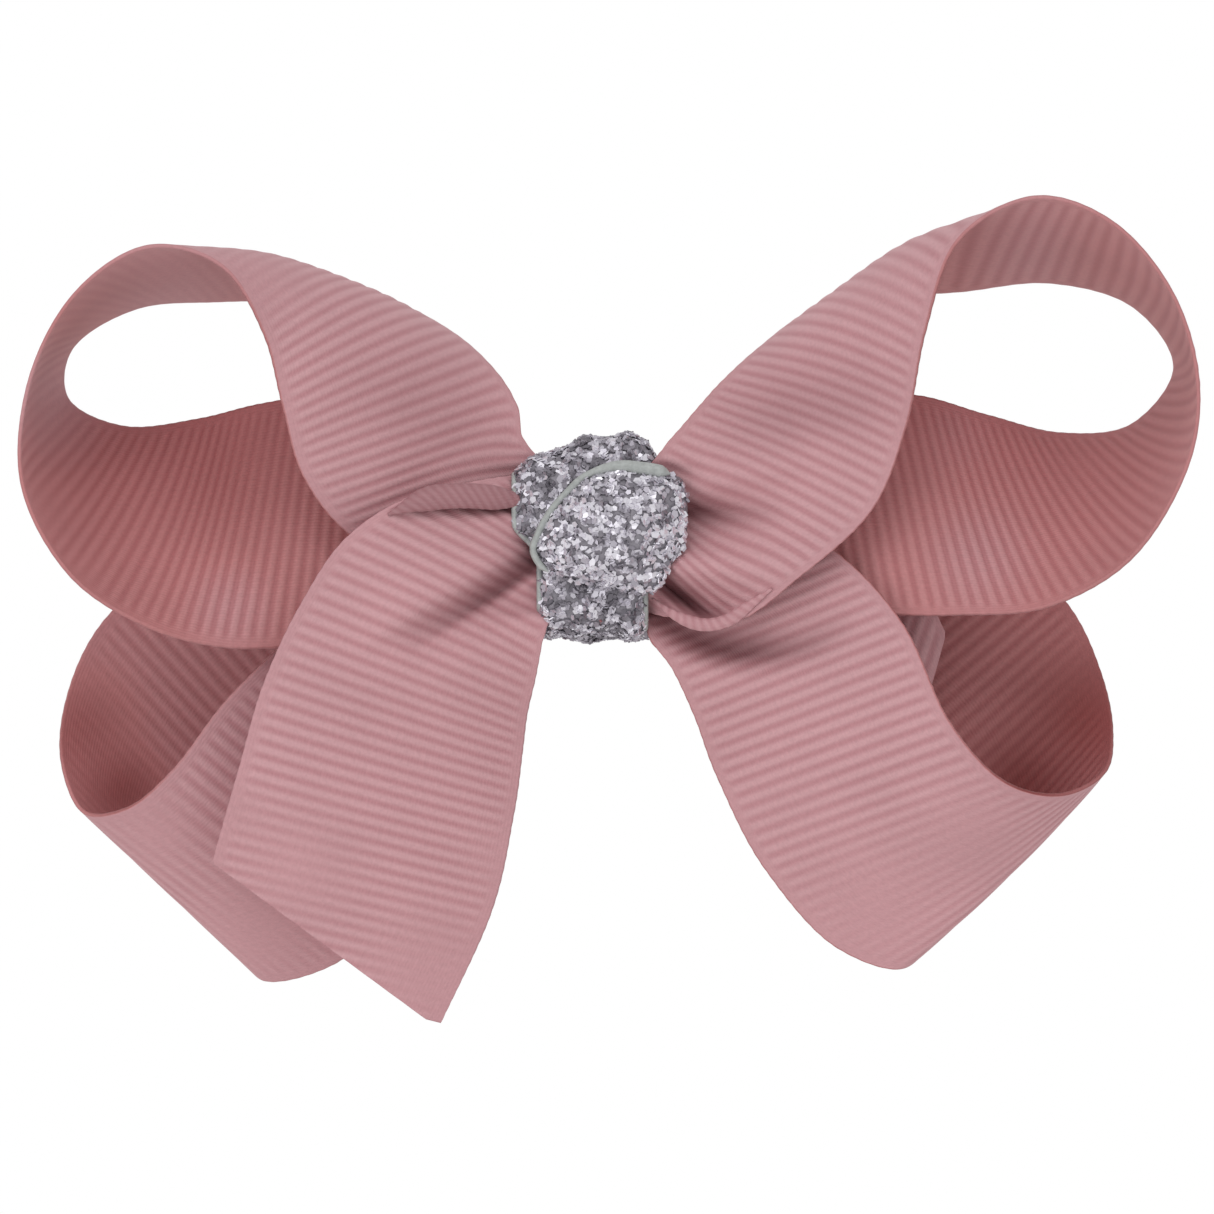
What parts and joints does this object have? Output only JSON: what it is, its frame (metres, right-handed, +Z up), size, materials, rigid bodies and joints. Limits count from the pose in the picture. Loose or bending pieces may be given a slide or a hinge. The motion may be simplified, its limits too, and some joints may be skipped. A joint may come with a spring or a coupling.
{
  "type": "hair bow",
  "caption": "Twisted boutique hair bow of ribbed rose ribbon with open loops, slanted tails and a silver glitter knot, on a sprung alligator clip.",
  "frame": {"origin": "middle of the knot's height and width, on the plane behind the fixed jaw where hair is gripped", "axes": "+X along the bow's long axis to the right as seen from the front, +Y away from the viewer, out of the clip's back, +Z up"},
  "size_m": [0.1059, 0.0282, 0.0743],
  "materials": {
    "ribbon_rose": "ribbed polyester grosgrain, dusty rose",
    "glitter_silver": "glitter-coated ribbon, silver",
    "thread_rose": "polyester sewing thread",
    "nickel_plate": "nickel-plated stamped steel",
    "spring_steel": "drawn spring wire",
    "hot_glue": "cured hot-melt glue"
  },
  "bodies": {
    "bow": {"upper_left_loop": "ribbon_rose", "upper_right_loop": "ribbon_rose", "lower_left_loop": "ribbon_rose", "lower_right_loop": "ribbon_rose", "front_tail": "ribbon_rose", "back_tail": "ribbon_rose", "gathering_thread": "thread_rose", "knot_band": "glitter_silver", "knot_turn": "glitter_silver", "glue_pad": "hot_glue", "clip_liner": "ribbon_rose", "clip_fixed_jaw": "nickel_plate", "hinge_pin": "nickel_plate", "torsion_spring": "spring_steel"},
    "jaw": {"clip_moving_jaw": "nickel_plate"}
  },
  "joints": [
    {"name": "clip_hinge", "type": "hinge", "parent": "bow", "child": "jaw", "pos_m": [0.01, 0.0006, 0], "axis": [0, 0, -1], "range_deg": [0, 28], "stiffness_Nm_per_rad": 0.06, "springref_deg": -34.38, "deforming": ["torsion_spring"]}
  ]
}
